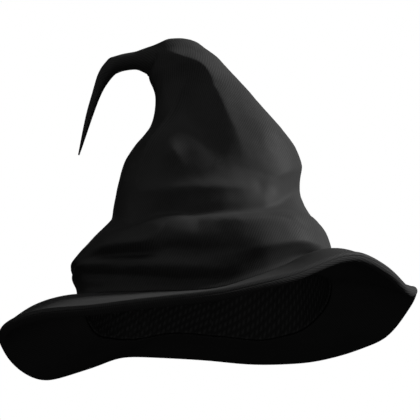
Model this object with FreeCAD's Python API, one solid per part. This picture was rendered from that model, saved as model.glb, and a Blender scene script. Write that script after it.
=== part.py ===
import FreeCAD, Part
import math
import os
from FreeCAD import Vector

# Witch hat: a tall slouching fabric crown with a wired, hooked tip on a wide waved brim.
# Millimetres. +X runs along the head opening's longer way, away from the side that the tip hooks
# over; -Y is the front on display; +Z is up, and Z = 0 is the surface that the brim stands on.
# Shells are made of closed rings: each ring is one closed curve around the hat.

# --- Head opening -------------------------------------------------------------------------------
head_length = 205.4          # inside the sweatband, along X
head_width = 161.4           # inside the sweatband, along Y

# --- Cloth and layers ---------------------------------------------------------------------------
crown_cloth = 1.6
interfacing_cloth = 1.5
lining_cloth = 0.8
foam_thickness = 1.5
sweatband_cloth = 1.2
layer_gap = 0.15             # between the sewn layers of one wall
band_gap = 0.2               # round the loose sweatband and its foam
seam_gap = 0.25              # between the crown's raw edge and the brim

# --- Crown --------------------------------------------------------------------------------------
crown_rise = 222.2           # from the mean height of the brim seam to the fold of the tip
seat_rim = 0.6               # least wadding between the knuckle and the cloth of the neck

# --- Brim ---------------------------------------------------------------------------------------
brim_width_side = 66.0       # from the crown seam to the edge, along X
brim_width_front = 77.0      # from the crown seam to the edge, along Y
brim_shift = -1.5            # the brim's edge is this far off centre along X
brim_cloth = 1.4
brim_core_thickness = 5.5
edge_wire_radius = 1.0
wire_turns = 48              # straight runs in the hoop of wire round the edge
wire_end_gap = 1.0           # between the two ends of the wire, inside the ferrule
ferrule_length = 16.0
ferrule_wall = 0.4
ferrule_gap = 0.05           # between the wire and the ferrule crimped round it
core_gap = 0.35              # between the ferrule and the cloth or core on each side of it

# --- Tip ----------------------------------------------------------------------------------------
knuckle_radius = 10.5        # ball at the root of the tip, centred on the fold line
knuckle_gap = 0.35
tip_cloth = 1.2
tip_wire_radius = 0.8
wire_gap = 0.1               # between the tip's wires and the wadding round them
cap_radius = 1.3
cap_length = 5.0
cap_grip = 3.5               # how far the cap covers the wire's end

ring_points = 48
section_steps = 4            # sections added in each span of the crown's list, to keep layers parallel

# Height of the brim's middle surface round the opening, as (angle in degrees, height).
# 0 degrees is +X and 90 degrees is the back. Heights are above the edge's lowest troughs.
opening_heights = [
    (-170, 40.0), (-142, 35.5), (-115, 28.0), (-88, 22.5), (-62, 31.5), (-35, 42.0), (-10, 41.0),
    (20, 25.5), (47, 13.5), (63, 13.0), (85, 21.5), (110, 29.0), (135, 24.0), (155, 24.5)]

# Height of the middle of the brim's rolled edge above its two lowest troughs, behind on each side.
edge_heights = [
    (-165, 17.0), (-140, 14.5), (-115, 5.5), (-90, 3.0), (-70, 11.0), (-47, 29.0), (-35, 22.0),
    (-20, 9.5), (0, 20.0), (15, 14.5), (30, 3.0), (55, 0.0), (75, 6.0), (97, 19.5), (117, 25.5),
    (133, 12.5), (152, 0.0), (168, 7.0), (180, 15.5)]

# How far the brim bulges up half-way between the seam and the edge.
bulge_heights = [(-162, 9.0), (-130, 2.0), (-90, -1.0), (-65, 2.0), (-42, 9.0), (-15, 5.0),
                 (30, 0.0), (90, 0.0), (150, 1.0)]

# Crown sections from the seam to the fold, as shares of crown_rise and of the seam's size:
# (rise, shift along X, half-length, half-depth, lean in degrees, share of the seam's waves)
crown_sections = [
    (0.000, 0.000, 1.000, 1.000, 0.0, 1.00),
    (0.060, 0.000, 0.990, 0.985, 0.0, 0.80),
    (0.144, -0.018, 0.993, 0.965, 0.8, 0.40),
    (0.200, -0.030, 0.980, 0.945, 1.4, 0.18),
    (0.275, -0.006, 0.868, 0.880, 1.2, 0.00),
    (0.374, 0.055, 0.750, 0.790, 1.4, 0.00),
    (0.515, 0.109, 0.709, 0.705, 2.6, 0.00),
    (0.621, 0.114, 0.630, 0.615, 4.0, 0.00),
    (0.740, 0.132, 0.440, 0.480, 6.6, 0.00),
    (0.864, 0.082, 0.325, 0.375, 11.3, 0.00),
    (0.954, -0.004, 0.276, 0.290, 18.0, 0.00),
    (1.003, -0.125, 0.193, 0.205, 42.0, 0.00)]
sweatband_top_section = 2    # the sweatband and its foam reach up to this section
wadding_first_section = 9    # the lining ends and the wadding starts here
fold_shift = -0.241          # the fold line's X, as a share of the seam's half-length
fold_lean = 68.0

# Centre line of the tip: (X, Z from the fold line, radius as a share of the knuckle's, lean)
tip_sections = [
    (0.0, 0.0, 0.95, 86.0),
    (-17.5, 0.6, 0.72, 92.0),
    (-28.0, -0.6, 0.69, 100.0),
    (-37.5, -5.8, 0.63, 126.0),
    (-47.3, -20.2, 0.42, 153.0),
    (-55.1, -37.2, 0.325, 157.0),
    (-63.2, -58.6, 0.21, 160.0),
    (-71.0, -80.4, 0.05, 160.0)]
tip_wire_last_section = 4    # the tip's wire follows the centre line down to here
neck_wire_route = [(12.0, -1.5), (25.0, -9.0), (31.0, -22.0)]   # (X, Z) from the fold line

# --- Sizes that follow --------------------------------------------------------------------------
interfacing_inset = crown_cloth + layer_gap
lining_inset = interfacing_inset + interfacing_cloth + layer_gap
foam_inset = lining_inset + lining_cloth + band_gap
sweatband_inset = foam_inset + foam_thickness + band_gap
crown_stack = sweatband_inset + sweatband_cloth
opening_inset = sweatband_inset - band_gap
seam_half_x = head_length / 2 + crown_stack
seam_half_y = head_width / 2 + crown_stack
opening_half_x = seam_half_x - opening_inset
opening_half_y = seam_half_y - opening_inset
edge_half_x = seam_half_x + brim_width_side
edge_half_y = seam_half_y + brim_width_front
core_lift = brim_core_thickness / 2
cloth_lift = core_lift + layer_gap
edge_radius = cloth_lift + brim_cloth
ferrule_radius = edge_wire_radius + ferrule_gap + ferrule_wall
wire_inset = brim_cloth + core_gap + ferrule_radius
wire_step = 360.0 / wire_turns
neck_half = knuckle_radius + knuckle_gap + seat_rim + layer_gap + crown_cloth


def along_list(nodes, angle):
    """Smooth closed curve through (angle, value) pairs, flat at every peak and trough."""
    count = len(nodes)
    turn = (angle - nodes[0][0]) % 360.0
    for index in range(count):
        here = nodes[index]
        after = nodes[(index + 1) % count]
        start = (here[0] - nodes[0][0]) % 360.0
        span = (after[0] - here[0]) % 360.0
        if start <= turn < start + span:
            break

    def slope(middle):
        low = nodes[(middle - 1) % count]
        mid = nodes[middle % count]
        high = nodes[(middle + 1) % count]
        rise_in = (mid[1] - low[1]) / ((mid[0] - low[0]) % 360.0)
        rise_out = (high[1] - mid[1]) / ((high[0] - mid[0]) % 360.0)
        if rise_in * rise_out <= 0:
            return 0.0
        return 2 * rise_in * rise_out / (rise_in + rise_out)

    u = (turn - start) / span
    return ((1 + 2 * u) * (1 - u) ** 2 * here[1] + u * (1 - u) ** 2 * span * slope(index)
            + u * u * (3 - 2 * u) * after[1] - u * u * (1 - u) * span * slope(index + 1))


def brim_width(angle):
    """Plan width of the brim from the opening to the edge."""
    turn = math.radians(angle)
    return ((edge_half_x - opening_half_x) * math.cos(turn) ** 2
            + (edge_half_y - opening_half_y) * math.sin(turn) ** 2)


def brim_height(angle, way):
    """Height of the brim's middle surface; way is 0 at the opening and 1 at the edge."""
    height = (1 - way) * along_list(opening_heights, angle) + way * along_list(edge_heights, angle)
    return height + 4 * way * (1 - way) * along_list(bulge_heights, angle)


def lowest_underside():
    """Lowest point of the rolled edge, which stands on Z = 0."""
    heights = []
    for angle in range(0, 360, 2):
        for tilt in range(0, 91, 15):
            inset = edge_radius * (1 - math.sin(math.radians(tilt)))
            drop = edge_radius * math.cos(math.radians(tilt))
            heights.append(brim_height(angle, 1 - inset / brim_width(angle)) - drop)
        heights.append(brim_height(angle, 1 - 2 * edge_radius / brim_width(angle)) - edge_radius)
    return min(heights)


floor_level = lowest_underside()


def brim_point(angle, share, inset, lift):
    """Point on the brim: share runs from the opening to the edge, inset goes back inwards."""
    turn = math.radians(angle)
    half_x = opening_half_x + share * (edge_half_x - opening_half_x) - inset
    half_y = opening_half_y + share * (edge_half_y - opening_half_y) - inset
    height = brim_height(angle, share - inset / brim_width(angle)) - floor_level
    return Vector(brim_shift * share + half_x * math.cos(turn), half_y * math.sin(turn), height + lift)


def closed_ring(point_at):
    """One closed curve through points at even angles."""
    points = [point_at(360.0 * step / ring_points) for step in range(ring_points)]
    curve = Part.BSplineCurve()
    knots = [step / ring_points for step in range(ring_points + 1)]
    curve.interpolate(Points=points, PeriodicFlag=True, Parameters=knots)
    return curve


def brim_ring(share, inset, lift):
    return closed_ring(lambda angle: brim_point(angle, share, inset, lift))


def seam_height(angle, inset):
    """Top of the brim under the crown's wall, where the wall is this far inside its outer face."""
    return brim_point(angle, 0.0, inset - opening_inset, edge_radius).z


seam_steps = 36
mean_seam = sum(seam_height(360.0 * step / seam_steps, 0.0) for step in range(seam_steps)) / seam_steps


def crown_point(angle, section, inset):
    rise, shift, length, depth, lean, waves = section
    turn = math.radians(angle)
    tilt = math.radians(lean)
    reach = (seam_half_x * length - inset) * math.cos(turn)
    wave = waves * (seam_height(angle, inset) + seam_gap - mean_seam)
    return Vector(seam_half_x * shift + reach * math.cos(tilt),
                  (seam_half_y * depth - inset) * math.sin(turn),
                  mean_seam + crown_rise * rise + reach * math.sin(tilt) + wave)


def crown_ring(section, inset):
    return closed_ring(lambda angle: crown_point(angle, section, inset))


def smooth_sections(sections):
    """The same run of sections with more of them in between, on smooth curves."""
    fine = []
    final = len(sections) - 1
    for index in range(final):
        before = sections[max(index - 1, 0)]
        here = sections[index]
        after = sections[index + 1]
        beyond = sections[min(index + 2, final)]
        for step in range(section_steps):
            u = step / section_steps
            fine.append(tuple(
                b + 0.5 * u * (c - a + u * (2 * a - 5 * b + 4 * c - d + u * (3 * (b - c) + d - a)))
                for a, b, c, d in zip(before, here, after, beyond)))
    return fine + [sections[final]]


fold = Vector(fold_shift * seam_half_x, 0, mean_seam + crown_rise)
fold_section = (1.0, fold_shift, neck_half / seam_half_x, neck_half / seam_half_y, fold_lean, 0.0)
all_sections = smooth_sections(crown_sections + [fold_section])
wall_sections = all_sections[:section_steps * wadding_first_section + 1]
band_sections = all_sections[:section_steps * sweatband_top_section + 1]


def skin(rings):
    """One smooth face through a chain of rings."""
    columns = list(zip(*[ring.getPoles() for ring in rings]))
    places = [0.0]
    for index in range(len(rings) - 1):
        steps = [column[index].distanceToPoint(column[index + 1]) for column in columns]
        places.append(places[-1] + sum(steps) / len(steps))
    lines = []
    for column in columns:
        line = Part.BSplineCurve()
        line.interpolate(Points=list(column), Parameters=places)
        lines.append(line)
    face = Part.BSplineSurface()
    face.buildFromPolesMultsKnots(
        [line.getPoles() for line in lines], rings[0].getMultiplicities(), lines[0].getMultiplicities(),
        rings[0].getKnots(), lines[0].getKnots(), True, False, rings[0].Degree, lines[0].Degree)
    return face.toShape()


def ring_solid(*chains):
    """Closed solid whose skin is a chain of faces; each chain starts on the ring the last one ended."""
    shell = Part.Compound([skin(chain) for chain in chains])
    shell.sewShape(0.001)
    solid = Part.Solid(shell.Shells[0])
    if solid.Volume < 0:
        solid.reverse()
    return solid


def crown_layer(sections, inset, thickness):
    """Open-ended wall of one cloth that follows the crown's sections."""
    outer = [crown_ring(section, inset) for section in sections]
    inner = [crown_ring(section, inset + thickness) for section in sections]
    return ring_solid(outer, [outer[-1], inner[-1]], inner[::-1], [inner[0], outer[0]])


def brim_cover(side):
    """Cloth over one face of the brim and half-way round its rolled edge; side is +1 or -1."""
    shares = [0.0, 0.2, 0.4, 0.6, 0.8]
    parting = layer_gap / 2
    turns = [math.radians(angle) for angle in (90, 60, 30)]

    def skin(radius):
        flat = [brim_ring(share, 0.0, side * radius) for share in shares]
        roll = [brim_ring(1.0, edge_radius - radius * math.cos(turn), side * radius * math.sin(turn))
                for turn in turns]
        roll.append(brim_ring(1.0, edge_radius - radius, side * parting))
        return flat + roll[:1], roll

    outer_flat, outer_roll = skin(edge_radius)
    inner_flat, inner_roll = skin(cloth_lift)
    return ring_solid(outer_flat, outer_roll, [outer_roll[-1], inner_roll[-1]], inner_roll[::-1],
                      inner_flat[::-1], [inner_flat[0], outer_flat[0]])


def brim_core():
    """Foam board between the two cloths, up to the wire in the rolled edge."""
    core_end = wire_inset + ferrule_radius + core_gap
    upper = [brim_ring(share, 0.0, core_lift) for share in (0.0, 0.2, 0.4, 0.6, 0.8)]
    lower = [brim_ring(share, 0.0, -core_lift) for share in (0.0, 0.2, 0.4, 0.6, 0.8)]
    upper.append(brim_ring(1.0, core_end, core_lift))
    lower.append(brim_ring(1.0, core_end, -core_lift))
    return ring_solid(upper, [upper[-1], lower[-1]], lower[::-1], [lower[0], upper[0]])


def bent_wire(points, radius):
    """Round wire along straight runs joined by tangent arcs."""
    edges = []
    last = points[0]
    for corner in range(1, len(points) - 1):
        here = points[corner]
        back = points[corner - 1] - here
        ahead = points[corner + 1] - here
        reach = 0.45 * min(back.Length, ahead.Length)
        back.normalize()
        ahead.normalize()
        opening = back.getAngle(ahead)
        middle_way = reach * (1 - math.sin(opening / 2)) / math.cos(opening / 2)
        middle = here + (back + ahead).normalize() * middle_way
        edges.append(Part.LineSegment(last, here + back * reach).toShape())
        edges.append(Part.Arc(here + back * reach, middle, here + ahead * reach).toShape())
        last = here + ahead * reach
    edges.append(Part.LineSegment(last, points[-1]).toShape())
    start_face = Part.Wire([Part.Circle(points[0], points[1] - points[0], radius).toShape()])
    return Part.Wire(edges).makePipeShell([start_face], True, False)


def tip_ring(section, shrink):
    x, z, share, lean = section
    radius = knuckle_radius * share - shrink
    tilt = math.radians(lean)

    def point_at(angle):
        across = radius * math.cos(math.radians(angle))
        return fold + Vector(x + across * math.cos(tilt), radius * math.sin(math.radians(angle)),
                             z + across * math.sin(tilt))
    return closed_ring(point_at)


def capped_solid(rings):
    """Closed solid with one smooth skin and a flat face on each end ring."""
    ends = [Part.Face(Part.Wire([ring.toShape()])) for ring in (rings[0], rings[-1])]
    shell = Part.Compound([skin(rings)] + ends)
    shell.sewShape(0.001)
    solid = Part.Solid(shell.Shells[0])
    if solid.Volume < 0:
        solid.reverse()
    return solid


def horn(sections, shrink):
    """Ball on the fold line with the hooked horn of the tip growing out of it."""
    ball = Part.makeSphere(knuckle_radius - shrink, fold)
    return ball.fuse(capped_solid([tip_ring(section, shrink) for section in sections]))


parts = {}

# --- Crown --------------------------------------------------------------------------------------
parts["crown_fabric"] = crown_layer(all_sections, 0.0, crown_cloth)
parts["crown_interfacing"] = crown_layer(wall_sections, interfacing_inset, interfacing_cloth)
parts["crown_lining"] = crown_layer(wall_sections, lining_inset, lining_cloth)
parts["sweatband_foam"] = crown_layer(band_sections, foam_inset, foam_thickness)


def band_foot(inset):
    """Lower edge of the sweatband, level with the underside of the brim."""
    def point_at(angle):
        top = crown_point(angle, crown_sections[0], inset)
        return Vector(top.x, top.y, brim_point(angle, 0.0, 0.0, -core_lift).z)
    return closed_ring(point_at)


def sweatband():
    outer = [crown_ring(section, sweatband_inset) for section in band_sections]
    inner = [crown_ring(section, crown_stack) for section in band_sections]
    outer_foot = band_foot(sweatband_inset)
    inner_foot = band_foot(crown_stack)
    return ring_solid([outer_foot, outer[0]], outer, [outer[-1], inner[-1]], inner[::-1],
                      [inner[0], inner_foot], [inner_foot, outer_foot])


parts["sweatband"] = sweatband()

# --- Brim ---------------------------------------------------------------------------------------
parts["brim_top_fabric"] = brim_cover(1)
parts["brim_under_fabric"] = brim_cover(-1)
parts["brim_core"] = brim_core()

# The wire's ends meet at the back, in a straight stretch that the ferrule is crimped round.
joint = brim_point(90.0, 1.0, wire_inset, 0.0)
beside = brim_point(90.0 + wire_step, 1.0, wire_inset, 0.0)
along = (beside - brim_point(90.0 - wire_step, 1.0, wire_inset, 0.0)).normalize()
hoop = [joint + along * (wire_end_gap / 2), joint + along * ferrule_length]
hoop += [brim_point(90.0 + wire_step * step, 1.0, wire_inset, 0.0) for step in range(2, wire_turns - 1)]
hoop += [joint - along * ferrule_length, joint - along * (wire_end_gap / 2)]
parts["brim_edge_wire"] = bent_wire(hoop, edge_wire_radius)

ferrule_foot = joint - along * (ferrule_length / 2)
ferrule = Part.makeCylinder(ferrule_radius, ferrule_length, ferrule_foot, along)
ferrule_bore = Part.makeCylinder(edge_wire_radius + ferrule_gap, ferrule_length, ferrule_foot, along)
parts["brim_wire_ferrule"] = ferrule.cut(ferrule_bore)

# --- Neck of the crown --------------------------------------------------------------------------
wadding_inset = crown_cloth + layer_gap
first_rise, first_shift, first_length, first_depth, first_lean, first_waves = wall_sections[-1]
wadding_start = (first_rise + layer_gap / crown_rise, first_shift, first_length, first_depth, first_lean, 0.0)
wadding_sections = [wadding_start] + all_sections[len(wall_sections):]
wadding = capped_solid([crown_ring(section, wadding_inset) for section in wadding_sections])
seat = Part.makeSphere(knuckle_radius + knuckle_gap, fold)
neck_points = [fold + Vector(x, 0, z) for x, z in neck_wire_route]
neck_bore = bent_wire(neck_points, tip_wire_radius + wire_gap)
parts["neck_wadding"] = wadding.cut(seat).cut(neck_bore)
parts["neck_wire"] = bent_wire(neck_points, tip_wire_radius)

# --- Tip ----------------------------------------------------------------------------------------
parts["tip_fabric"] = horn(tip_sections, 0.0).cut(horn(tip_sections[:-1], tip_cloth))

wire_points = [fold + Vector(x, 0, z) for x, z, share, lean in tip_sections[:tip_wire_last_section + 1]]
parts["tip_wire"] = bent_wire(wire_points, tip_wire_radius)
cap_way = (wire_points[-1] - wire_points[-2]).normalize()
cap_foot = wire_points[-1] - cap_way * cap_grip
cap = Part.makeCylinder(cap_radius, cap_length, cap_foot, cap_way)
cap_bore = Part.makeCylinder(tip_wire_radius + ferrule_gap, cap_grip, cap_foot, cap_way)
parts["tip_wire_cap"] = cap.cut(cap_bore)
stuffing = horn(tip_sections[:-1], tip_cloth + layer_gap)
wire_tunnel = bent_wire(wire_points, tip_wire_radius + wire_gap)
pocket_foot = cap_foot - cap_way * wire_gap
cap_pocket = Part.makeCylinder(cap_radius + wire_gap, cap_length + 2 * wire_gap, pocket_foot, cap_way)
parts["tip_stuffing"] = stuffing.cut(wire_tunnel).cut(cap_pocket)

if __name__ == "__main__":
    os.makedirs("parts", exist_ok=True)
    for name, shape in parts.items():
        shape.exportStep("parts/" + name + ".step")
        box = shape.BoundBox
        print(name, shape.isValid(), len(shape.Solids), round(shape.Volume / 1000, 2),
              [round(v, 1) for v in (box.XMin, box.XMax, box.YMin, box.YMax, box.ZMin, box.ZMax)])
    print("fold", fold, "mean seam", mean_seam)
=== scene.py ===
import math

import bpy
import numpy as np
from mathutils import Matrix, Vector, noise
from mathutils.bvhtree import BVHTree


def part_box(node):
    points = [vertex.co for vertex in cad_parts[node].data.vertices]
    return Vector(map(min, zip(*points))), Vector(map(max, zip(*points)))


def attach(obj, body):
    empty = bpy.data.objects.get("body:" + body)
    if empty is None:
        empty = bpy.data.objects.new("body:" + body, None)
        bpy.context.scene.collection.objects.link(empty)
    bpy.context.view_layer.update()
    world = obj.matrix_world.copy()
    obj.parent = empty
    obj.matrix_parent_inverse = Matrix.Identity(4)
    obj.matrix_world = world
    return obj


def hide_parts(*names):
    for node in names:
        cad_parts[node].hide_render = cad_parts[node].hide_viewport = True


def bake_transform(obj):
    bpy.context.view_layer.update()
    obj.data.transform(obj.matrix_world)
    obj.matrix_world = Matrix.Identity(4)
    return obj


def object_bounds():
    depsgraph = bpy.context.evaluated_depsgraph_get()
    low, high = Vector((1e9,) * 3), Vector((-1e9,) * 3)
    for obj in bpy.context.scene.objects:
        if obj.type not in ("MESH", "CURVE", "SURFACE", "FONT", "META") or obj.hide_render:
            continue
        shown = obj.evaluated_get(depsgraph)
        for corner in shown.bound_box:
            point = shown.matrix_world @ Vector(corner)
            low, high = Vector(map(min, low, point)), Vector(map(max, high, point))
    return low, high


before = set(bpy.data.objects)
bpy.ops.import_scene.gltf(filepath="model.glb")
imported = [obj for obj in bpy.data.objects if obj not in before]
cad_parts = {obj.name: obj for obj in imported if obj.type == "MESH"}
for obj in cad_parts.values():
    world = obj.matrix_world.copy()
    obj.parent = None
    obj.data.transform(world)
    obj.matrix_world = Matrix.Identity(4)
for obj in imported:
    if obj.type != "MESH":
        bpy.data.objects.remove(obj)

MM = 0.001
cad_low, cad_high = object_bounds()
crown_low, crown_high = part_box("crown_fabric")
brim_low, brim_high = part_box("brim_top_fabric")
seam_half_x = crown_high.x
seam_half_y = (crown_high.y - crown_low.y) / 2
brim_half_x = (brim_high.x - brim_low.x) / 2
brim_half_y = (brim_high.y - brim_low.y) / 2
brim_shift = (brim_high.x + brim_low.x) / 2

around = 240                 # points round each ring
ring_angles = np.linspace(90.0, 450.0, around + 1)[:-1]
ring_turns = np.radians(ring_angles)
row_step = 1.5               # between the crown's rings
neck_first = 190             # place where the crown's neck begins
lining_top = 199             # place where the lining and interfacing end, at the wadding
knuckle_first = 256          # places where the crown's CAD cloth ends and the tip's begins
knuckle_last = 268
point_end = 376              # place of the tip's point
cloth_thickness = 1.6        # of the crown's outer cloth
interfacing_depths = (1.75, 3.25)    # first and last depth of the inner layers below the skin
lining_depths = (3.4, 4.2)
down = Vector((0, 0, -1))
up = Vector((0, 0, 1))


# --- Helpers --------------------------------------------------------------------------------------
def smoothstep(low, high, value):
    """Smooth step from 0 at low to 1 at high."""
    t = np.clip((value - low) / (high - low), 0.0, 1.0)
    return t * t * (3 - 2 * t)


def tree_of(*nodes):
    """A search tree over the triangles of these CAD nodes."""
    points = []
    faces = []
    for name in nodes:
        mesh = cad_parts[name].data
        first = len(points)
        points += [vertex.co.copy() for vertex in mesh.vertices]
        faces += [[first + index for index in polygon.vertices] for polygon in mesh.polygons]
    return BVHTree.FromPolygons(points, faces)


def bell(reach):
    """Weights of a Gaussian, and how many points it spans on each side."""
    span = int(3 * reach) + 1
    weights = np.exp(-0.5 * (np.arange(-span, span + 1) / reach) ** 2)
    return weights / weights.sum(), span


def smooth_rows(values, reach):
    """Gaussian smoothing of an array along its first axis."""
    weights, span = bell(reach)
    padded = np.concatenate([np.repeat(values[:1], span, 0), values, np.repeat(values[-1:], span, 0)])
    return sum(w * padded[k:k + len(values)] for k, w in enumerate(weights))


def smooth_round(values, reach):
    """Gaussian smoothing of an array round its second axis, which is a closed ring."""
    weights, span = bell(reach)
    return sum(w * np.roll(values, k - span, axis=1) for k, w in enumerate(weights))


def smooth_table(table, places):
    """Smooth curve through the rows of a table, whose first column is the place."""
    table = np.array(table, float)
    keys = table[:, 0]
    slopes = np.gradient(table[:, 1:], keys, axis=0)
    index = np.clip(np.searchsorted(keys, places) - 1, 0, len(keys) - 2)
    span = (keys[index + 1] - keys[index])[:, None]
    u = (places - keys[index])[:, None] / span
    low, high = table[index, 1:], table[index + 1, 1:]
    return ((1 + 2 * u) * (1 - u) ** 2 * low + u * (1 - u) ** 2 * span * slopes[index]
            + u * u * (3 - 2 * u) * high - u * u * (1 - u) * span * slopes[index + 1])


def fill_gaps(values):
    """Values with each column's missing ones filled in from those above and below."""
    rows = np.arange(len(values))
    for column in values.T:
        known = ~np.isnan(column)
        column[:] = np.interp(rows, rows[known], column[known])
    return values


def normals_of(points):
    """Outward normals of rings of points that go round anticlockwise and climb."""
    along = np.gradient(points, axis=0)
    across = np.roll(points, -1, axis=1) - np.roll(points, 1, axis=1)
    normals = np.cross(across, along)
    return normals / np.linalg.norm(normals, axis=2, keepdims=True)


def grid_object(name, points, uv, wrap=False, close_start=False, close_end=False):
    """Mesh from closed rings of points. With wrap the last ring joins the first, and a closed end
    gets a fan of faces to its middle. uv has one more column than points, and one more row."""
    rows, count = points.shape[:2]
    row = np.arange(rows if wrap else rows - 1)[:, None]
    step = np.arange(count)[None, :]
    next_row, next_step = (row + 1) % rows, (step + 1) % count
    faces = [row * count + step, row * count + next_step,
             next_row * count + next_step, next_row * count + step]
    faces = np.stack(np.broadcast_arrays(*faces), -1).reshape(-1, 4).tolist()
    corners = [uv[row, step], uv[row, step + 1], uv[row + 1, step + 1], uv[row + 1, step]]
    corners = np.stack(corners, 2).reshape(-1, 2).tolist()
    vertices = points.reshape(-1, 3).tolist()
    for closed, ring, way in ((close_start, 0, -1), (close_end, rows - 1, 1)):
        if not closed:
            continue
        middle = len(vertices)
        vertices.append(points[ring].mean(axis=0).tolist())
        for here in range(count):
            face = [(ring * count + here, uv[ring, here]),
                    (ring * count + (here + 1) % count, uv[ring, here + 1]),
                    (middle, uv[ring, here])]
            faces.append([vertex for vertex, place in face[::way]])
            corners += [place.tolist() for vertex, place in face[::way]]
    mesh = bpy.data.meshes.new(name)
    mesh.from_pydata(vertices, [], faces)
    uv_layer = mesh.uv_layers.new(name="cloth")
    uv_layer.data.foreach_set("uv", np.array(corners, np.float32).ravel())
    mesh.polygons.foreach_set("use_smooth", [True] * len(mesh.polygons))
    mesh.update()
    piece = bpy.data.objects.new(name, mesh)
    bpy.context.scene.collection.objects.link(piece)
    return piece


# --- Camera ---------------------------------------------------------------------------------------
def make_camera():
    """The hat is seen from a little below its brim, with the picture tipped a few degrees."""
    aim = Vector((0.010, 0.0, 0.117))
    elevation = math.radians(-15.0)
    roll = math.radians(-6.5)
    distance = 1.5
    focal_length = 150.7         # in millimetres, as is the sensor's width
    sensor_width = 36.0
    back = Vector((0, -math.cos(elevation), math.sin(elevation)))
    camera = bpy.data.objects.new("camera", bpy.data.cameras.new("camera"))
    camera.data.lens = focal_length
    camera.data.sensor_width = sensor_width
    turn = back.to_track_quat("Z", "Y").to_matrix().to_4x4() @ Matrix.Rotation(roll, 4, "Z")
    camera.matrix_world = Matrix.Translation(aim + back * distance) @ turn
    bpy.context.scene.collection.objects.link(camera)
    bpy.context.scene.camera = camera


# --- Materials ------------------------------------------------------------------------------------
# A noise's scale is about how many of its grains lie along a metre.
class Graph:
    """Short calls for the nodes of one material."""

    def __init__(self, name):
        self.material = bpy.data.materials.new(name)
        self.material.use_nodes = True
        self.tree = self.material.node_tree
        self.shader = self.tree.nodes["Principled BSDF"]

    def put(self, socket, value):
        if isinstance(value, bpy.types.NodeSocket):
            self.tree.links.new(value, socket)
        else:
            socket.default_value = value

    def math(self, operation, *values):
        node = self.tree.nodes.new("ShaderNodeMath")
        node.operation = operation
        for socket, value in zip(node.inputs, values):
            self.put(socket, value)
        return node.outputs[0]

    def noise(self, where, scale, detail=2.0, roughness=0.5):
        node = self.tree.nodes.new("ShaderNodeTexNoise")
        self.put(node.inputs["Vector"], where)
        node.inputs["Scale"].default_value = scale
        node.inputs["Detail"].default_value = detail
        node.inputs["Roughness"].default_value = roughness
        return node.outputs["Fac"]

    def remap(self, value, low, high, to_low, to_high):
        node = self.tree.nodes.new("ShaderNodeMapRange")
        for socket, number in zip(node.inputs, (value, low, high, to_low, to_high)):
            self.put(socket, number)
        return node.outputs[0]

    def mix(self, factor, first, second):
        node = self.tree.nodes.new("ShaderNodeMix")
        node.data_type = "RGBA"
        self.put(node.inputs["Factor"], factor)
        for key, colour in (("A", first), ("B", second)):
            socket = [s for s in node.inputs if s.name == key and s.type == "RGBA"][0]
            self.put(socket, (*colour, 1.0) if isinstance(colour, tuple) else colour)
        return [s for s in node.outputs if s.type == "RGBA"][0]

    def uv(self):
        return self.tree.nodes.new("ShaderNodeUVMap").outputs["UV"]

    def object_place(self):
        return self.tree.nodes.new("ShaderNodeTexCoord").outputs["Object"]

    def split(self, vector):
        node = self.tree.nodes.new("ShaderNodeSeparateXYZ")
        self.put(node.inputs[0], vector)
        return node.outputs

    def bump(self, height, strength, distance):
        node = self.tree.nodes.new("ShaderNodeBump")
        node.inputs["Strength"].default_value = strength
        node.inputs["Distance"].default_value = distance
        self.put(node.inputs["Height"], height)
        self.put(self.shader.inputs["Normal"], node.outputs[0])

    def finish(self, colour, roughness, specular=0.5, metallic=0.0, sheen=0.0, edge=1.0):
        self.put(self.shader.inputs["Base Color"], colour)
        self.put(self.shader.inputs["Roughness"], roughness)
        self.shader.inputs["Specular IOR Level"].default_value = specular
        self.shader.inputs["Metallic"].default_value = metallic
        self.shader.inputs["Sheen Weight"].default_value = sheen
        self.shader.inputs["Sheen Roughness"].default_value = 0.5
        self.shader.inputs["Specular Tint"].default_value = (edge, edge, edge, 1.0)
        return self.material


def twill(name, dark, light, roughness, relief, gloss=0.0, sheen=0.0, slant=55.0, pitch=1.9 * MM,
          stitch=0.5, gap=0.55):
    """Twill: slanting ribs broken into single threads, with faded and shiny patches. stitch is a
    thread's length as a share of the pitch, and gap the height of the dips between threads. gloss is
    a small share of metal in the shader, which shines on folds but stays dull at the outline."""
    g = Graph(name)
    uv = g.uv()
    u, v, _ = g.split(uv)
    slant = math.radians(slant)
    sway = g.math("MULTIPLY", g.noise(uv, 45.0, 2.0), 0.9)
    rib = g.math("ADD", g.math("MULTIPLY", u, math.sin(slant) / pitch),
                 g.math("MULTIPLY", v, -math.cos(slant) / pitch))
    rib = g.math("MULTIPLY", g.math("ADD", rib, sway), 2 * math.pi)
    along = g.math("ADD", g.math("MULTIPLY", u, math.cos(slant) / (stitch * pitch)),
                   g.math("MULTIPLY", v, math.sin(slant) / (stitch * pitch)))
    along = g.math("ADD", g.math("MULTIPLY", along, 2 * math.pi), g.math("MULTIPLY", rib, 0.5))
    ribs = g.remap(g.math("SINE", rib), -1.0, 1.0, 0.0, 1.0)
    threads = g.remap(g.math("SINE", along), -1.0, 1.0, gap, 1.0)
    weave = g.math("MULTIPLY", ribs, threads)
    fluff = g.noise(uv, 900.0, 3.0, 0.6)
    patches = g.noise(uv, 22.0, 4.0, 0.6)
    height = g.math("ADD", weave, g.math("MULTIPLY", fluff, 0.35))
    g.bump(height, relief, 0.35 * MM)
    # The colour is darker in the weave's dips between threads as painted shade, and it also varies with
    # real faded patches.
    painted_shade_and_patches = g.math("ADD", g.math("MULTIPLY", weave, 0.55), g.math("MULTIPLY", patches, 0.45))
    colour = g.mix(painted_shade_and_patches, dark, light)
    rough = g.remap(g.math("ADD", g.math("MULTIPLY", patches, 0.7), g.math("MULTIPLY", fluff, 0.3)),
                    0.25, 0.75, roughness - 0.06, roughness + 0.06)
    return g.finish(colour, rough, 0.0, metallic=gloss, sheen=sheen, edge=0.1)


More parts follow.
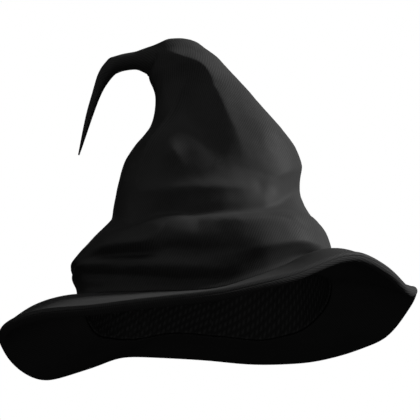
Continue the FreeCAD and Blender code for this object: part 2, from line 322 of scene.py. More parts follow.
def plain_weave(name, dark, light, roughness, pitch, relief):
    """Plain weave: threads over and under in two directions."""
    g = Graph(name)
    uv = g.uv()
    u, v, _ = g.split(uv)
    across = g.math("SINE", g.math("MULTIPLY", u, 2 * math.pi / pitch))
    upward = g.math("SINE", g.math("MULTIPLY", v, 2 * math.pi / pitch))
    weave = g.remap(g.math("MULTIPLY", across, upward), -1.0, 1.0, 0.0, 1.0)
    fluff = g.noise(uv, 1200.0, 3.0, 0.6)
    g.bump(g.math("ADD", weave, fluff), relief, 0.2 * MM)
    patches = g.noise(uv, 30.0, 3.0)
    # The colour is darker in the weave's dips as painted shade, mixed with real random patches.
    colour = g.mix(g.math("MULTIPLY", g.math("ADD", weave, patches), 0.5), dark, light)
    return g.finish(colour, g.remap(fluff, 0.3, 0.7, roughness - 0.05, roughness + 0.05), 0.2)


def fibre(name, dark, light):
    """Matted fibre filling."""
    g = Graph(name)
    place = g.object_place()
    strands = g.noise(place, 900.0, 6.0, 0.75)
    clumps = g.noise(place, 120.0, 4.0, 0.6)
    g.bump(g.math("ADD", strands, g.math("MULTIPLY", clumps, 2.0)), 0.9, 0.8 * MM)
    return g.finish(g.mix(strands, dark, light), g.remap(clumps, 0.3, 0.7, 0.85, 0.98), 0.1)


def open_foam(name, dark, light):
    """Open-cell foam: small pits all over."""
    g = Graph(name)
    place = g.object_place()
    cells = g.tree.nodes.new("ShaderNodeTexVoronoi")
    g.put(cells.inputs["Vector"], place)
    cells.inputs["Scale"].default_value = 1400.0
    patches = g.noise(place, 60.0, 3.0)
    g.bump(cells.outputs["Distance"], 0.7, 0.3 * MM)
    # The colour is darker in the pits as painted shade, mixed with real random patches.
    painted_shade_and_patches = g.math("ADD", cells.outputs["Distance"], g.math("MULTIPLY", patches, 0.4))
    return g.finish(g.mix(painted_shade_and_patches, dark, light), g.remap(patches, 0.3, 0.7, 0.8, 0.95), 0.2)


def drawn_metal(name, dark, light, roughness):
    """Wire and crimped tube: drawing marks and dull spots."""
    g = Graph(name)
    place = g.object_place()
    marks = g.noise(place, 2500.0, 2.0)
    dull = g.noise(place, 150.0, 4.0, 0.65)
    g.bump(marks, 0.25, 0.05 * MM)
    rough = g.remap(dull, 0.3, 0.7, roughness - 0.08, roughness + 0.15)
    return g.finish(g.mix(dull, dark, light), rough, 0.5, metallic=1.0)


def moulded(name, dark, light):
    """Moulded plastic with a fine spark grain."""
    g = Graph(name)
    place = g.object_place()
    grain = g.noise(place, 3000.0, 2.0)
    g.bump(grain, 0.3, 0.05 * MM)
    return g.finish(g.mix(g.noise(place, 200.0), dark, light), g.remap(grain, 0.3, 0.7, 0.38, 0.52))


def grey(value):
    return (value, value, value)


def make_materials():
    slanting_dashes = {"relief": 0.8, "slant": 106.0, "pitch": 4.0 * MM, "stitch": 1.8, "gap": 0.0}
    return {
        "twill": twill("black_twill", grey(0.052), grey(0.100), 0.38, 0.25, gloss=0.035, sheen=0.02),
        "under": twill("black_twill_under", grey(0.048), grey(0.100), 0.75, 0.30),
        "interfacing": plain_weave("interfacing", grey(0.010), grey(0.022), 0.85, 0.8 * MM, 0.6),
        # Lining and ribbon: real slanting thread dashes, in greys lifted well above black as painted light
        # for the shaded inside of the crown.
        "lining": twill("lining", grey(0.040), grey(0.180), 0.75, **slanting_dashes),
        "grosgrain": twill("grosgrain", grey(0.040), grey(0.180), 0.70, **slanting_dashes),
        "fibre": fibre("fibre", (0.45, 0.44, 0.42), (0.72, 0.71, 0.69)),
        "foam": open_foam("foam", (0.02, 0.02, 0.022), (0.05, 0.05, 0.052)),
        "steel": drawn_metal("steel", (0.32, 0.32, 0.33), (0.52, 0.52, 0.53), 0.34),
        "ferrule": drawn_metal("ferrule", (0.60, 0.58, 0.52), (0.78, 0.76, 0.70), 0.30),
        "plastic": moulded("plastic", (0.012, 0.012, 0.013), (0.022, 0.022, 0.024))}


# --- Crown and tip: one skin ----------------------------------------------------------------------
# Centre line as (place, X, Z, lean in degrees, share of the seam's wave), in millimetres.
spine = [
    (0, 0, 36, 0, 1.0),
    (14, 0, 50, 0, 0.8),
    (33, -2, 69, 0.8, 0.4),
    (45, -3, 80, 1.4, 0.18),
    (62, -1, 97, 1.2, 0.0),
    (84, 6, 119, 1.4, 0.0),
    (116, 12, 151, 2.6, 0.0),
    (139, 12.5, 174, 4.0, 0.0),
    (165, 14.5, 200, 6.6, 0.0),
    (193, 9, 228, 11.3, 0.0),
    (215, 0, 248, 18, 0.0),
    (239, -14, 259, 42, 0.0),
    (256, -26.5, 258.3, 68, 0.0),
    (274, -44, 258.9, 92, 0.0),
    (284, -54.5, 257.7, 100, 0.0),
    (295, -64, 252.5, 126, 0.0),
    (312, -73.8, 238.1, 153, 0.0),
    (331, -81.6, 221.1, 157, 0.0),
    (354, -89.7, 199.7, 160, 0.0),
    (376, -97.3, 178.6, 160, 0.0)]

# Folds as (left width, right width, crispness, [(angle, place, height), ...]) in millimetres. Left
# and right are those of someone who walks along the points on the outside of the hat, head up.
# A crispness of 2 is a round fold and 1.2 a sharp one. A negative height is a valley.
front_folds = [
    # The lower edge of the lit facet at the crest, and the edge that runs on from it down the front.
    (12, 9, 1.3, [(-78, 254, 0.0), (-94, 238, 2.5), (-97, 220, 5.5), (-87, 206, 6.5), (-76, 196, 5.0),
                  (-72, 186, 2.5), (-71, 176, 0.0)]),
    (30, 14, 1.2, [(-84, 212, 0.0), (-76, 198, 3.5), (-74, 186, 5.5), (-73, 166, 6.5), (-69, 150, 5.5),
                   (-65, 132, 4.0), (-63, 114, 2.0), (-66, 98, 0.0)]),
    # The hollow beside it.
    (12, 12, 2.0, [(-100, 206, 0.0), (-106, 190, -2.6), (-112, 172, -3.9), (-110, 156, -4.5),
                   (-100, 145, -3.9), (-90, 134, -3.9), (-84, 120, -3.2), (-80, 104, 0.0)]),
    # The bump in the hollow.
    (9, 9, 1.8, [(-126, 134, 0.7), (-120, 127, 3.9), (-115, 119, 5.2), (-110, 108, 2.0)]),
    # The thin ridge on the hollow's left.
    (5, 8, 1.4, [(-97, 196, 0.0), (-108, 186, 2.0), (-122, 176, 2.6), (-130, 160, 2.6), (-136, 142, 2.6),
                 (-140, 124, 2.0), (-146, 104, 0.0)]),
    # Shoulder knob on the right.
    (13, 8, 1.5, [(-52, 84, 0.0), (-42, 87, 1.5), (-31, 93, 2.5), (-20, 99, 3.0), (-8, 105, 2.5),
                  (6, 110, 1.5), (24, 112, 0.0)]),
    # The dark valley right across the front, under an overhanging bulge.
    (9, 7, 1.6, [(-156, 98, 0.0), (-140, 92, 2.6), (-126, 88, 3.9), (-108, 84, 3.9), (-90, 81, 3.9),
                 (-74, 79, 3.2), (-60, 78, 2.0), (-50, 78, 0.0)]),
    (7, 7, 1.6, [(170, 86, 0.0), (-172, 84, -2.0), (-156, 80, -2.6), (-142, 69, -3.9), (-128, 67, -5.2),
                 (-116, 69, -5.9), (-104, 67, -5.9), (-92, 62, -5.9), (-80, 60, -5.9), (-70, 59, -5.9),
                 (-58, 59, -5.9), (-47, 61, -5.2), (-38, 66, -5.2), (-28, 74, -4.5), (-14, 83, -2.6),
                 (4, 88, 0.0)]),
    # The bright band on the right below the valley, the swell below that, and a thin crease.
    (8, 34, 1.5, [(-88, 51, 0.0), (-78, 48, 3.0), (-69, 45, 5.5), (-58, 43, 7.0), (-47, 42, 6.5),
                  (-36, 43, 5.0), (-26, 46, 2.5), (-14, 51, 0.0)]),
    (28, 8, 1.5, [(-92, 24, 0.0), (-80, 22, 2.5), (-68, 20, 5.0), (-56, 17, 7.0), (-44, 14, 7.0),
                  (-32, 13, 4.5), (-20, 12, 0.0)]),
    (2.2, 2.2, 1.5, [(-68, 46, 0.0), (-61, 44.5, -1.0), (-54, 44, -1.6), (-46, 42, -1.6), (-39, 36, -1.0),
                     (-34, 27, 0.0)]),
    # Short ridge on the left, with a dark fold under it.
    (7, 4, 1.4, [(-156, 52, 0.0), (-148, 47, 0.7), (-141, 44, 3.2), (-133, 42, 4.5), (-126, 41, 4.5),
                 (-119, 40, 4.5), (-114, 42, 3.2), (-111, 47, 2.0), (-108, 55, 0.0)]),
    (4, 5, 1.7, [(-158, 40, 0.0), (-146, 37, -2.6), (-134, 34, -3.2), (-124, 32, -3.9), (-114, 31, -2.6),
                 (-104, 33, 0.0)]),
    # Swell in the middle, with a dark fold under it that runs down to the right.
    (9, 8, 2.0, [(-112, 46, 0.0), (-102, 42, 2.6), (-92, 39, 3.4), (-84, 38, 1.8), (-76, 38, 0.0)]),
    (5, 6, 1.7, [(-112, 35, 0.0), (-102, 32, -1.6), (-90, 29, -2.3), (-78, 25, -2.9), (-70, 22, -1.8),
                 (-60, 20, 0.0)]),
    # The slanting roll on the left.
    (5, 6, 1.5, [(-176, 38, 0.0), (-166, 36, 1.0), (-156, 33, 2.5), (-148, 29, 2.5), (-140, 26, 2.0),
                 (-132, 25, 0.0)]),
    # Rolls that come round from the left silhouette, with a nick between them.
    (4, 6, 1.5, [(150, 46, 0.0), (170, 45, 0.0), (-176, 43, 0.4), (-166, 42, 1.6), (-156, 42, 0.0)]),
    (2.2, 2.2, 1.6, [(172, 36, 0.0), (-176, 36.5, -2.6), (-168, 36.5, -2.6), (-158, 37, 0.0)]),
    (5, 5, 1.6, [(150, 32, 0.0), (172, 30, 1.3), (-172, 29, 1.3), (-162, 27, 0.0)]),
    # The low roll across the front and the dark valley under it.
    (6, 6, 2.0, [(-134, 22, 0.0), (-124, 21, 2.6), (-112, 19, 3.9), (-100, 18, 3.9), (-90, 17, 2.6),
                 (-80, 14, 0.0)]),
    (4, 5, 1.7, [(-164, 24, 0.0), (-152, 18, -2.6), (-140, 14, -3.2), (-128, 12, -3.9), (-116, 10, -3.9),
                 (-104, 8, -3.9), (-90, 8, -3.9), (-76, 6, 0.0)]),
    # A corner and a flatter side above the shoulder.
    (14, 20, 2.0, [(-42, 188, 0.0), (-38, 170, 2.0), (-36, 150, 2.5), (-34, 132, 2.5), (-30, 116, 0.0)]),
    (26, 26, 2.0, [(-4, 232, 0.0), (-2, 216, -2.0), (0, 190, -2.5), (0, 162, -2.5), (0, 138, -2.0),
                   (0, 122, 0.0)])]

# Folds on the back, in the same manner: they fan out from the left and fade to the right.
back_folds = [
    (20, 12, 1.3, [(96, 206, 0.0), (88, 188, 3.5), (82, 164, 5.0), (78, 140, 4.5), (70, 118, 2.0),
                   (66, 100, 0.0)]),
    (10, 12, 2.0, [(118, 196, 0.0), (112, 172, -3.5), (108, 146, -4.5), (100, 124, -3.0), (92, 106, 0.0)]),
    (6, 5, 1.4, [(128, 178, 0.0), (134, 158, 2.5), (140, 136, 3.0), (150, 116, 2.5), (160, 100, 0.0)]),
    (14, 5, 1.6, [(170, 92, 0.0), (150, 90, -3.0), (128, 86, -4.5), (104, 80, -4.5), (80, 77, -3.5),
                  (58, 80, -2.0), (40, 86, 0.0)]),
    (6, 16, 1.6, [(150, 108, 0.0), (128, 104, 2.5), (104, 96, 3.0), (80, 92, 2.0), (60, 92, 0.0)]),
    (7, 4, 1.4, [(158, 66, 0.0), (140, 66, 3.5), (118, 60, 4.5), (98, 55, 3.5), (82, 52, 0.0)]),
    (5, 8, 1.4, [(88, 60, 0.0), (68, 58, 3.5), (46, 60, 4.5), (24, 64, 2.5), (8, 66, 0.0)]),
    (7, 6, 1.7, [(150, 50, 0.0), (134, 46, -2.5), (112, 40, -3.5), (88, 36, -3.5), (62, 36, -2.5),
                 (40, 42, 0.0)]),
    (7, 6, 1.6, [(166, 44, 0.0), (146, 36, 3.5), (122, 29, 4.5), (98, 24, 4.0), (76, 20, 0.0)]),
    (7, 6, 1.6, [(96, 30, 0.0), (72, 27, 3.0), (46, 26, 3.5), (22, 24, 2.0), (4, 22, 0.0)]),
    (5, 5, 1.7, [(172, 12, 0.0), (150, 15, -2.5), (124, 12, -3.0), (96, 9, -3.0), (66, 9, -2.5),
                 (38, 10, 0.0)]),
    (10, 10, 2.0, [(34, 170, 0.0), (30, 150, 2.0), (26, 128, 1.5), (24, 112, 0.0)])]

# Corners across the top of the crown, and creases where it turns into the hook.
tip_folds = [
    (7, 6, 1.3, [(-62, 220, 0.0), (-34, 225, 1.0), (0, 227, 1.0), (34, 225, 1.0), (62, 220, 0.0)]),
    (6, 6, 1.3, [(-56, 246, 0.0), (-20, 247, 0.8), (20, 247, 0.8), (56, 246, 0.0)]),
    (4, 4, 1.4, [(-170, 232, 0.0), (-140, 238, -1.5), (-110, 246, -1.8), (-84, 256, 0.0)]),
    (4, 4, 1.4, [(170, 238, 0.0), (140, 244, -1.5), (112, 250, -1.5), (90, 258, 0.0)]),
    (3, 3, 1.5, [(150, 288, 0.0), (180, 292, -0.7), (-150, 288, 0.0)]),
    (4, 4, 1.2, [(-50, 287, 0.0), (-20, 289, 1.4), (20, 289, 1.4), (50, 287, 0.0)])]


def fold_heights(folds, places, radii):
    """Height in mm of all these folds at each ring and angle; radii are the rings' own, in mm."""
    steps_per_point = 14
    heights = np.zeros((len(places), around))
    for left_width, right_width, crisp, points in folds:
        points = np.array(points, float)
        points[:, 0] = np.degrees(np.unwrap(np.radians(points[:, 0])))
        knots = np.arange(len(points))
        steps = np.linspace(0, knots[-1], steps_per_point * len(points))
        line = smooth_table(np.column_stack([knots, points]), steps)
        mean_radius = np.interp(line[:, 1], places, radii)
        ways = np.gradient(line[:, :2], axis=0)
        ways[:, 0] = np.radians(ways[:, 0]) * mean_radius
        nearest = np.full(heights.shape, np.inf)
        strength = np.zeros(heights.shape)
        width = np.ones(heights.shape)
        for (angle, place, height), (way_round, way_up) in zip(line, ways):
            turn = np.radians((ring_angles - angle + 180.0) % 360.0 - 180.0)[None, :] * radii[:, None]
            climb = (places - place)[:, None]
            distance = np.hypot(turn, climb)
            on_left = way_round * climb - way_up * turn > 0
            closer = distance < nearest
            nearest[closer] = distance[closer]
            strength[closer] = height
            width[closer] = np.where(on_left, left_width, right_width)[closer]
        heights += strength * np.exp(-(nearest / width) ** crisp)
    return heights


def ripples(points, size, seed):
    """Smooth noise from -1 to 1 at each point; size is in metres."""
    flat = points.reshape(-1, 3) / size + seed
    values = [noise.noise(Vector(point)) for point in flat]
    return np.array(values).reshape(points.shape[:2])


def cad_skin():
    """Points of the CAD's outer cloth, ring by ring from the brim to the point of the tip, with each
    ring's place and mean radius. Rays start outside the cloth, and nearer to it at the neck and the
    hook, where a far start would meet another stretch of cloth first."""
    crown = tree_of("crown_fabric")
    tip = tree_of("tip_fabric")
    brim = tree_of("brim_top_fabric")
    places = np.arange(0.5, point_end, row_step)
    seam = np.zeros(around)
    for index, turn in enumerate(ring_turns):
        above = Vector((seam_half_x * math.cos(turn), seam_half_y * math.sin(turn), crown_high.z))
        seam[index] = brim.ray_cast(above, down)[0].z / MM
    wave = seam - seam.mean()
    centres = np.zeros((len(places), around, 3))
    ways = np.zeros((len(places), around, 3))
    radii = np.full((len(places), around), np.nan)
    for row, (x, z, lean, waves) in enumerate(smooth_table(spine, places)):
        tilt = math.radians(lean)
        tree, start = crown, 160 * MM
        if places[row] >= neck_first:
            start = 60 * MM
        if places[row] > knuckle_last:
            tree, start = tip, 25 * MM
        for index, turn in enumerate(ring_turns):
            way = Vector((math.cos(turn) * math.cos(tilt), math.sin(turn),
                          math.cos(turn) * math.sin(tilt)))
            centre = Vector((x, 0, z + waves * wave[index])) * MM
            centres[row, index] = centre
            ways[row, index] = way
            hit = tree.ray_cast(centre + way * start, -way, start)
            if hit[0] is not None and not knuckle_first <= places[row] <= knuckle_last:
                radii[row, index] = (hit[0] - centre).length
    radii = smooth_round(smooth_rows(fill_gaps(radii), 1.0), 1.0)
    return places, centres + ways * radii[..., None], radii.mean(axis=1)


def folded_skin():
    """The skin with its folds pushed along the surface's own normals."""
    band_lift = 3.0          # pushes the cloth out beside the sweatband, at the front and back
    low_depth = 0.2          # deepest valley low on the crown, where the sweatband lies behind it
    more_depth = 9.0         # what is added to that higher up
    softness = 1.0           # how gradually a valley meets its deepest
    hem_roll = 2.2           # how far the cloth's turned edge stands out at the seam
    seat_gap = 0.3           # from that edge to the brim
    places, points, radii = cad_skin()
    heights = fold_heights(front_folds + back_folds + tip_folds, places, radii / MM)
    front_and_back = smoothstep(0.1, 0.5, np.abs(np.sin(ring_turns)))[None, :]
    beside_band = smoothstep(2, 14, places) * (1 - smoothstep(50, 78, places))
    heights += band_lift * front_and_back * beside_band[:, None]
    deepest = (-low_depth - more_depth * smoothstep(42, 75, places))[:, None]
    above = heights - deepest
    heights = deepest + 0.5 * (above + np.sqrt(above * above + softness))
    fade = smoothstep(0, 8, places)[:, None] * (1 - smoothstep(300, 330, places))[:, None]
    wrinkles = ripples(points, 0.022, 3.0) * 0.5 + ripples(points, 0.009, 11.0) * 0.22
    heights = (heights + wrinkles) * fade
    heights += hem_roll * (1 - smoothstep(0, 9, places))[:, None] ** 2
    normals = smooth_round(smooth_rows(normals_of(points), 1.5), 1.5)
    points = points + normals * heights[..., None] * MM
    seat = tree_of("brim_top_fabric")
    drop = np.zeros(around)
    for index, point in enumerate(points[0]):
        hit = seat.ray_cast(Vector((point[0], point[1], crown_high.z)), down)
        drop[index] = hit[0].z + seat_gap * MM - point[2]
    points[..., 2] += drop[None, :] * (1 - smoothstep(0, 12, places))[:, None]
    return places, points, radii


def skin_uv(places, radii):
    """Cloth coordinates in metres: round the crown from the front, and along it."""
    turn = np.radians(np.append(ring_angles, ring_angles[0] + 360.0) - 270.0)
    u = turn[None, :] * radii[:, None]
    v = np.repeat(places[:, None] * MM, len(turn), axis=1)
    return np.stack([u, v], axis=-1)


def inset(points, depth, radii):
    """The skin's points moved in by a depth in mm, and by no more than half the local radius."""
    depth = np.minimum(depth * MM, 0.5 * radii)
    return points - normals_of(points) * depth[:, None, None]


def layer(name, depths, high, skin):
    """Closed shell between two depths below the skin, from the seam up to a place."""
    places, points, radii = skin
    rows = np.nonzero(places <= high)[0]
    inner, outer = (inset(points, depth, radii)[rows] for depth in reversed(depths))
    uv = skin_uv(places, radii)[rows]
    rings = np.concatenate([inner[::-1], outer])
    return grid_object(name, rings, np.concatenate([uv[::-1], uv, uv[-1:]]), wrap=True)


def crown_cloth(skin):
    """Outer cloth of the crown and tip, closed at the point, with an inner face up to where the tip
    is too thin for one."""
    inner_end = 338
    places, points, radii = skin
    uv = skin_uv(places, radii)
    inner_rows = np.nonzero(places < inner_end)[0][::3]
    inner = inset(points, cloth_thickness, radii)[inner_rows][::-1]
    rings = np.concatenate([inner, points])
    cloth_uv = np.concatenate([uv[inner_rows][::-1], uv, uv[-1:]])
    return grid_object("crown_cloth", rings, cloth_uv, close_start=True, close_end=True)


def filling(name, skin, depth, low, high, seed):
    """Lumpy plug of fibre that fills the skin between two places."""
    lump = 0.03              # share of the radius
    places, points, radii = skin
    rows = np.nonzero((places >= low) & (places <= high))[0]
    share = (places[rows] - low) / (high - low)
    rounded = np.sqrt(np.clip(1 - np.abs(2 * share - 1) ** 12, 0.0, 1.0))
    middle = points[rows].mean(axis=1, keepdims=True)
    body = inset(points, depth, radii)[rows]
    lumps = 1 - lump - lump * ripples(body, 0.006, seed)
    rings = middle + (body - middle) * (rounded[:, None] * lumps)[..., None]
    uv = skin_uv(places, radii)[rows]
    return grid_object(name, rings, np.concatenate([uv, uv[-1:]]), close_start=True, close_end=True)


# --- Brim -----------------------------------------------------------------------------------------
edge_radius = 4.3 * MM
brim_flat_rows = 34          # rings over the flat of the brim
brim_roll_rows = 10          # rings round each half of its rolled edge
cover_thickness = 1.35


def reach_of(tree, start, way, near, far, rise):
    """Distance from start along a level way at which upright rays stop meeting the tree."""
    halvings = 16
    for _ in range(halvings):
        middle = (near + far) / 2
        point = start + way * middle
        hit = tree.ray_cast(Vector((point.x, point.y, rise)), down)
        near, far = (middle, far) if hit[0] is not None else (near, middle)
    return (near + far) / 2


def brim_grid():
    """Upper and lower surfaces of the CAD's brim, sampled by upright rays from the opening to where
    the edge's roll starts. The roll is round, but for a squarer upper half along the front."""
    below_brim = -50 * MM
    edge_near, edge_far = 20 * MM, 120 * MM    # the brim's edge lies between these, out from the seam
    opening_far = 20 * MM                      # and its opening within this, in from the seam
    opening_gap = 0.05 * MM
    round_power, front_extra = 2.0, 1.4        # a superellipse's power: 2 is round, more is squarer
    both = tree_of("brim_top_fabric", "brim_under_fabric")
    upper = np.zeros((brim_flat_rows + brim_roll_rows, around, 3))
    lower = np.zeros(upper.shape)
    roll_turns = np.radians(np.linspace(90.0, 0.0, brim_roll_rows + 1)[1:])
    for index, turn in enumerate(ring_turns):
        seam = Vector((seam_half_x * math.cos(turn), seam_half_y * math.sin(turn), 0))
        edge = Vector((brim_shift + brim_half_x * math.cos(turn), brim_half_y * math.sin(turn), 0))
        way = (edge - seam).normalized()
        outer = reach_of(both, seam, way, edge_near, edge_far, crown_high.z)
        inner = -reach_of(both, seam, -way, 0.0, opening_far, crown_high.z) + opening_gap
        for row, spot in enumerate(np.linspace(inner, outer - edge_radius, brim_flat_rows)):
            point = seam + way * spot
            top = both.ray_cast(Vector((point.x, point.y, crown_high.z)), down)[0]
            bottom = both.ray_cast(Vector((point.x, point.y, below_brim)), up)[0]
            upper[row, index] = top
            lower[row, index] = bottom
        middle = (top.z + bottom.z) / 2
        half = (top.z - bottom.z) / 2
        front = smoothstep(0.35, 0.75, -math.sin(turn))
        upper_power = round_power + front_extra * front
        for grid, side, power in ((upper, 1, upper_power), (lower, -1, round_power)):
            out = outer - edge_radius * (1 - np.cos(roll_turns) ** (2 / power))
            rise = half * np.abs(np.sin(roll_turns)) ** (2 / power)
            grid[brim_flat_rows:, index, 0] = seam.x + way.x * out
            grid[brim_flat_rows:, index, 1] = seam.y + way.y * out
            grid[brim_flat_rows:, index, 2] = middle + side * rise
    return upper, lower


def brim_uv(points):
    """Cloth coordinates in metres: the plan, let out to the true length up the slopes."""
    steps = np.linalg.norm(np.diff(points, axis=0), axis=2)
    run = np.concatenate([np.zeros((1, around)), np.cumsum(steps, axis=0)])
    first = np.linalg.norm(points[0, :, :2], axis=1)
    turn = np.arctan2(points[0, :, 1], points[0, :, 0])
    uv = np.stack([np.cos(turn), np.sin(turn)], -1)[None] * (first[None] + run)[..., None]
    return np.concatenate([uv, uv[:, :1]], axis=1)


def brim_cover(name, outer, side):
    """Cloth over one face of the brim and half-way round its rolled edge; side is +1 or -1."""
    swell_height = 0.9
    gather_height = 0.35
    share = np.linspace(0.0, 1.0, len(outer))
    calm = smoothstep(0.0, 0.15, share) * (1 - smoothstep(0.55, 0.72, share))
    swell = 0.5 + 0.5 * ripples(outer, 0.045, 7.0 if side > 0 else 19.0)
    gathers = 0.5 + 0.5 * ripples(outer, 0.012, 29.0)
    near_seam = smoothstep(0.0, 0.05, share) * (1 - smoothstep(0.12, 0.34, share))
    lift = swell_height * swell * calm[:, None] + gather_height * gathers * near_seam[:, None]
    clear_of_floor = smoothstep(2.0, 7.0, outer[..., 2] / MM) if side < 0 else 1.0
    outer = outer.copy()
    outer[..., 2] += side * lift * clear_of_floor * MM
    inner = outer + side * normals_of(outer) * cover_thickness * MM
    uv = brim_uv(outer)
    if side > 0:
        rings = np.concatenate([outer[::-1], inner])
        cloth_uv = np.concatenate([uv[::-1], uv, uv[-1:]])
    else:
        rings = np.concatenate([outer, inner[::-1]])
        cloth_uv = np.concatenate([uv, uv[::-1], uv[:1]])
    return grid_object(name, rings, cloth_uv, wrap=True)


def brim_foam(upper, lower):
    """Foam board between the brim's covers, short of the wire in its edge, with rounded rims."""
    rows_for_wire = 2
    cover_room = 1.6 * MM
    thinnest = 0.5 * MM
    room_share = 0.98        # of the room between the covers
    lump = 0.01
    rows = brim_flat_rows - rows_for_wire
    share = np.linspace(0.0, 1.0, rows)
    middle = (upper[:rows] + lower[:rows]) / 2
    full = np.sqrt(1 - np.abs(2 * share - 1) ** 40) * room_share
    half = (upper[:rows, :, 2] - lower[:rows, :, 2]) / 2 - cover_room
    lumps = 1 - lump - lump * ripples(middle, 0.01, 61.0)
    rise = np.maximum(half, thinnest) * full[:, None] * lumps
    top, bottom = middle.copy(), middle.copy()
    top[..., 2] += rise
    bottom[..., 2] -= rise
    uv = brim_uv(top)
    rings = np.concatenate([top[::-1], bottom])
    return grid_object("brim_foam", rings, np.concatenate([uv[::-1], uv, uv[-1:]]), wrap=True)


# --- Sweatband ------------------------------------------------------------------------------------
def band_face(node, rows, outer=False):
    """Rings over the inner or the outer face of one of the CAD's bands, from its lower edge to its
    upper. Level rays meet the inner face from the middle of the hat, and the outer from outside."""
    reach = 200 * MM
    level_step = 0.5 * MM
    band = tree_of(node)
    low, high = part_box(node)
    points = np.zeros((rows, around, 3))
    for index, turn in enumerate(ring_turns):
        way = Vector((seam_half_x * math.cos(turn), seam_half_y * math.sin(turn), 0)).normalized()
        hits = []
        for level in np.arange(low.z + 0.2 * MM, high.z, level_step):
            start = Vector((0, 0, level)) + way * (reach if outer else 0.0)
            hit = band.ray_cast(start, -way if outer else way, reach)
            if hit[0] is not None:
                hits.append(list(hit[0]))
        hits = np.array(hits)
        spots = np.linspace(hits[0, 2], hits[-1, 2], rows)
        for axis in range(3):
            points[:, index, axis] = np.interp(spots, hits[:, 2], hits[:, axis])
    return smooth_round(points, 1.0)


def band_shell(name, inner, outer, sampled):
    """Closed band between two faces, with cloth coordinates in metres along the sampled face."""
    share = np.linspace(0.0, 1.0, len(sampled))
    heights = share * np.linalg.norm(sampled[-1] - sampled[0], axis=1).mean()
    length = np.linalg.norm(np.roll(sampled[0], -1, axis=0) - sampled[0], axis=1)
    run = np.concatenate([[0.0], np.cumsum(length)])
    uv = np.stack(np.broadcast_arrays(run[None, :], heights[:, None]), axis=-1)
    rings = np.concatenate([inner[::-1], outer])
    return grid_object(name, rings, np.concatenate([uv[::-1], uv, uv[-1:]]), wrap=True)


def sweatband_ribbon():
    """Ribbon round the head opening, sampled from the CAD's band, with soft rolled edges."""
    thickness = 1.15 * MM
    sampled = band_face("sweatband", 26)
    share = np.linspace(0.0, 1.0, len(sampled))
    rolls = ((0.94, 0.035, 0.35), (0.05, 0.03, 0.25))    # (share of the height, width, depth)
    rim = sum(depth * np.exp(-((share - middle) / width) ** 2) for middle, width, depth in rolls)
    outward = normals_of(sampled)
    relief = rim[:, None] + 0.06 * ripples(sampled, 0.01, 41.0)
    inner = sampled - outward * relief[..., None] * MM
    return band_shell("sweatband_ribbon", inner, sampled + outward * thickness, sampled)


def sweatband_padding():
    """Foam strip behind the ribbon, sampled from the CAD's strip, with pressed edges."""
    rows = 18
    lump = 0.04
    faces = [band_face("sweatband_foam", rows), band_face("sweatband_foam", rows, outer=True)]
    share = np.linspace(0.0, 1.0, rows)
    middle = (faces[0] + faces[1]) / 2
    full = np.sqrt(1 - np.abs(2 * share - 1) ** 8) * 0.9 + 0.08
    full = full[:, None] * (1 - lump - lump * ripples(middle, 0.008, 53.0))
    inner, outer = (middle + (face - middle) * full[..., None] for face in faces)
    return band_shell("sweatband_padding", inner, outer, inner)


# --- Stage ----------------------------------------------------------------------------------------
def make_floor():
    """Pale floor under the hat, with the hat's shadow. A camera below it looks through its back. Its
    own diffuse light and shadow don't reach the hat, which has a weak lamp below it."""
    half = 2.0
    glow = 0.32              # seen by the camera only
    mesh = bpy.data.meshes.new("floor")
    corners = [(-half, -half, 0), (half, -half, 0), (half, half, 0), (-half, half, 0)]
    mesh.from_pydata(corners, [], [(0, 1, 2, 3)])
    floor = bpy.data.objects.new("floor", mesh)
    floor.location.z = cad_low.z - 0.2 * MM
    bpy.context.scene.collection.objects.link(floor)
    g = Graph("floor")
    path = g.tree.nodes.new("ShaderNodeLightPath").outputs
    g.finish((0.80, 0.80, 0.80, 1.0), 0.7, 0.2)
    g.shader.inputs["Emission Color"].default_value = (1.0, 1.0, 1.0, 1.0)
    g.put(g.shader.inputs["Emission Strength"], g.math("MULTIPLY", path["Is Camera Ray"], glow))
    back = g.tree.nodes.new("ShaderNodeNewGeometry").outputs["Backfacing"]
    clear = g.tree.nodes.new("ShaderNodeBsdfTransparent").outputs[0]
    mix = g.tree.nodes.new("ShaderNodeMixShader")
    g.put(mix.inputs[0], g.math("MULTIPLY", path["Is Camera Ray"], back))
    g.put(mix.inputs[1], g.shader.outputs[0])
    g.put(mix.inputs[2], clear)
    g.put(g.tree.nodes["Material Output"].inputs["Surface"], mix.outputs[0])
    mesh.materials.append(g.material)
    floor.visible_diffuse = False
    floor.visible_shadow = False


def make_sun(name, strength, way, spread):
    """Lamp that shines from a direction, given as a vector towards it."""
    sun = bpy.data.objects.new(name, bpy.data.lights.new(name, "SUN"))
    sun.data.energy = strength
    sun.data.angle = math.radians(spread)
    sun.rotation_euler = Vector(way).to_track_quat("Z", "Y").to_euler()
    bpy.context.scene.collection.objects.link(sun)


def make_world():
    """Dim light from all round, and plain white to the camera, in reflections and through glass."""
    dim, white = 0.020, 1.0
    world = bpy.data.worlds.new("world")
    bpy.context.scene.world = world
    world.use_nodes = True
    nodes, links = world.node_tree.nodes, world.node_tree.links
    path = nodes.new("ShaderNodeLightPath").outputs
    seen = path["Is Camera Ray"]
    for ray in ("Is Glossy Ray", "Is Transmission Ray"):
        either = nodes.new("ShaderNodeMath")
        either.operation = "ADD"
        either.use_clamp = True
        links.new(seen, either.inputs[0])
        links.new(path[ray], either.inputs[1])
        seen = either.outputs[0]
    mix = nodes.new("ShaderNodeMix")
    mix.data_type = "FLOAT"
    mix.inputs[2].default_value = dim
    mix.inputs[3].default_value = white
    links.new(seen, mix.inputs[0])
    links.new(mix.outputs[0], nodes["Background"].inputs["Strength"])
    nodes["Background"].inputs["Color"].default_value = (1, 1, 1, 1)


def dress(piece, material):
    """Give a piece its finish."""
    piece.data.materials.clear()
    piece.data.materials.append(material)
    return piece


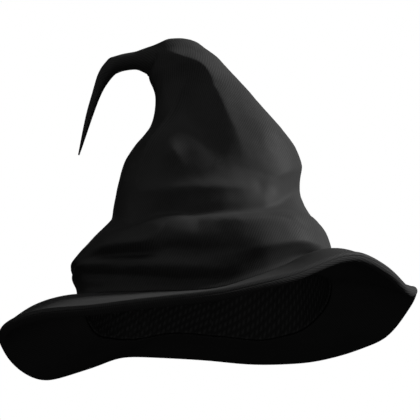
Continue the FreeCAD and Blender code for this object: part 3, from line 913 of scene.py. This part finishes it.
# --- The hat --------------------------------------------------------------------------------------
make_camera()
materials = make_materials()
skin = folded_skin()

outer_cloth = dress(crown_cloth(skin), materials["twill"])
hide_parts("crown_fabric", "tip_fabric")
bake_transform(outer_cloth)

stiffening = dress(layer("interfacing_shell", interfacing_depths, lining_top, skin),
                   materials["interfacing"])
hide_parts("crown_interfacing")
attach(stiffening, "root")

lining = dress(layer("lining_shell", lining_depths, lining_top, skin), materials["lining"])
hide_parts("crown_lining")
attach(lining, "root")

neck = dress(filling("neck_fibre", skin, depth=4.4, low=188, high=246, seed=5.0),
             materials["fibre"])
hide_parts("neck_wadding")
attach(neck, "root")

stuffing = dress(filling("tip_fibre", skin, depth=1.5, low=249, high=340, seed=9.0),
                 materials["fibre"])
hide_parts("tip_stuffing")
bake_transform(stuffing)

brim_upper, brim_lower = brim_grid()
top_cover = dress(brim_cover("brim_top_cover", brim_upper, 1), materials["twill"])
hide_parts("brim_top_fabric")
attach(top_cover, "root")
under_cover = dress(brim_cover("brim_under_cover", brim_lower, -1), materials["under"])
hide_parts("brim_under_fabric")
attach(under_cover, "root")

ribbon = dress(sweatband_ribbon(), materials["grosgrain"])
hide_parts("sweatband")
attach(ribbon, "root")

board = dress(brim_foam(brim_upper, brim_lower), materials["foam"])
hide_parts("brim_core")
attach(board, "root")

strip = dress(sweatband_padding(), materials["foam"])
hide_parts("sweatband_foam")
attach(strip, "root")

# The CAD's metal and plastic parts stay, with finishes of their own.
for node, material in (("brim_edge_wire", "steel"), ("neck_wire", "steel"), ("tip_wire", "steel"),
                       ("brim_wire_ferrule", "ferrule"), ("tip_wire_cap", "plastic")):
    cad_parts[node].data.materials.clear()
    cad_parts[node].data.materials.append(materials[material])

# The key light comes from the right, above and slightly behind. The others only lift the shadows.
make_floor()
make_sun("key", 3.1, (0.91, 0.08, 0.40), 14)
make_sun("top", 0.20, (-0.10, -0.22, 0.97), 30)
make_sun("low", 0.06, (0.0, -0.95, -0.30), 20)
make_world()
bpy.context.scene.view_settings.view_transform = "Standard"
